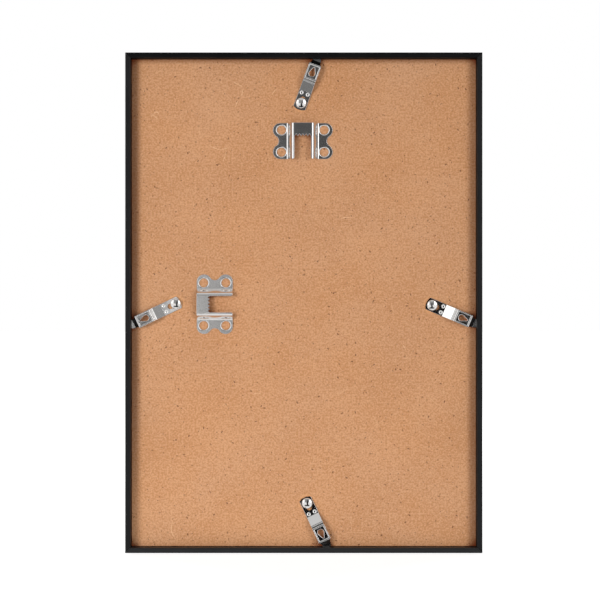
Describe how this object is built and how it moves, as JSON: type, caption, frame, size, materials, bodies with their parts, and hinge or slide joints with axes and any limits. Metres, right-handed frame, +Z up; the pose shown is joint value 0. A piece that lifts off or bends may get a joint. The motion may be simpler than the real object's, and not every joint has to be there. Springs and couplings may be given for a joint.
{
  "type": "picture frame",
  "caption": "Slim black back-loading picture frame with a hardboard back held by swivelling turn clips and sawtooth hangers for upright or sideways hanging.",
  "frame": {"origin": "middle of the underside of the bottom rail, at half the frame's depth", "axes": "+Z up with the portrait hanger at the top, +Y out of the back with its clips and hangers, so the picture faces -Y; left as seen from behind is +X"},
  "size_m": [0.218, 0.014, 0.3055],
  "materials": {
    "frame_black": "satin black extruded profile",
    "key_steel": "plain steel strip",
    "glass": "clear float glass",
    "insert_paper": "plain white paper",
    "hardboard": "tan pressed fibreboard",
    "clip_nickel": "bright nickel-plated spring steel",
    "rivet_nickel": "bright nickel-plated dome rivet",
    "hanger_nickel": "bright nickel-plated pressed steel"
  },
  "bodies": {
    "frame": {"top_rail": "frame_black", "bottom_rail": "frame_black", "left_rail": "frame_black", "right_rail": "frame_black", "corner_key_top_left": "key_steel", "corner_key_bottom_left": "key_steel", "corner_key_top_right": "key_steel", "corner_key_bottom_right": "key_steel", "glass_pane": "glass", "insert_sheet": "insert_paper", "backing_board": "hardboard", "portrait_hanger": "hanger_nickel", "landscape_hanger": "hanger_nickel"},
    "rivet_top": {"clip_rivet_top": "rivet_nickel"},
    "clip_top": {"turn_clip_top": "clip_nickel"},
    "rivet_left": {"clip_rivet_left": "rivet_nickel"},
    "clip_left": {"turn_clip_left": "clip_nickel"},
    "rivet_right": {"clip_rivet_right": "rivet_nickel"},
    "clip_right": {"turn_clip_right": "clip_nickel"},
    "rivet_bottom": {"clip_rivet_bottom": "rivet_nickel"},
    "clip_bottom": {"turn_clip_bottom": "clip_nickel"}
  },
  "joints": [
    {"name": "swivel_top", "type": "hinge", "parent": "frame", "child": "rivet_top", "pos_m": [0.00165, 0, 0.27514], "axis": [0, -1, 0], "range_deg": [0, 105]},
    {"name": "retract_top", "type": "slide", "parent": "rivet_top", "child": "clip_top", "axis": [0.3502, 0, -0.9367], "range_m": [-0.0008, 0.0025]},
    {"name": "swivel_left", "type": "hinge", "parent": "frame", "child": "rivet_left", "pos_m": [0.07851, 0, 0.15215], "axis": [0, 1, 0], "range_deg": [0, 105]},
    {"name": "retract_left", "type": "slide", "parent": "rivet_left", "child": "clip_left", "axis": [-0.9011, 0, 0.4337], "range_m": [0, 0.0036]},
    {"name": "swivel_right", "type": "hinge", "parent": "frame", "child": "rivet_right", "pos_m": [-0.07871, 0, 0.15125], "axis": [0, -1, 0], "range_deg": [0, 313]},
    {"name": "retract_right", "type": "slide", "parent": "rivet_right", "child": "clip_right", "axis": [0.9184, 0, 0.3955], "range_m": [-0.0006, 0.0029]},
    {"name": "swivel_bottom", "type": "hinge", "parent": "frame", "child": "rivet_bottom", "pos_m": [-0.002, 0, 0.02988], "axis": [0, 1, 0], "range_deg": [0, 308]},
    {"name": "retract_bottom", "type": "slide", "parent": "rivet_bottom", "child": "clip_bottom", "axis": [0.4321, 0, 0.9018], "range_m": [-0.0006, 0.0029]}
  ]
}
